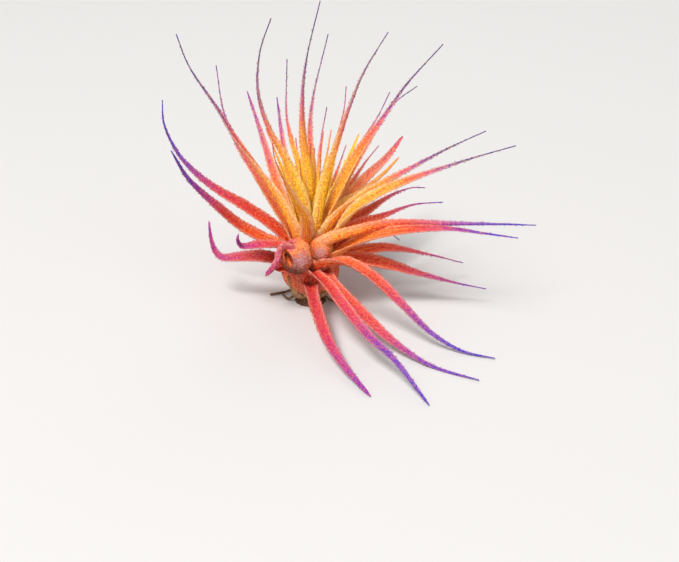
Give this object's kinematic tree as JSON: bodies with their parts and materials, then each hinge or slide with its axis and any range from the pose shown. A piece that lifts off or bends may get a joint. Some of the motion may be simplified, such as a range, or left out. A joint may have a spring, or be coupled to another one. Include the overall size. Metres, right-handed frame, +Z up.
{
  "type": "guatemala ionantha air plant",
  "caption": "Small air plant: a rosette of narrow channelled leaves, gold at the heart, coral outside, with violet tips, on a short woody stem with a trimmed flat foot.",
  "frame": {"origin": "middle of the stem's trimmed flat foot, on the surface the plant rests on", "axes": "+Z up along the stem, front of the rosette towards -Y"},
  "size_m": [0.0864, 0.0889, 0.071],
  "materials": {
    "inner_leaves": "soft matt leaf with fine pale scales, gold to coral, violet thread at the tip",
    "middle_leaves": "soft matt leaf with fine pale scales, orange to pink, violet at the tip",
    "outer_leaves": "soft matt leaf with fine pale scales, red to magenta, indigo at the tip",
    "stem": "dry fibrous bark"
  },
  "bodies": {
    "root": {"inner_leaves": "inner_leaves", "middle_leaves": "middle_leaves", "outer_leaves": "outer_leaves", "stem": "stem"}
  },
  "joints": []
}
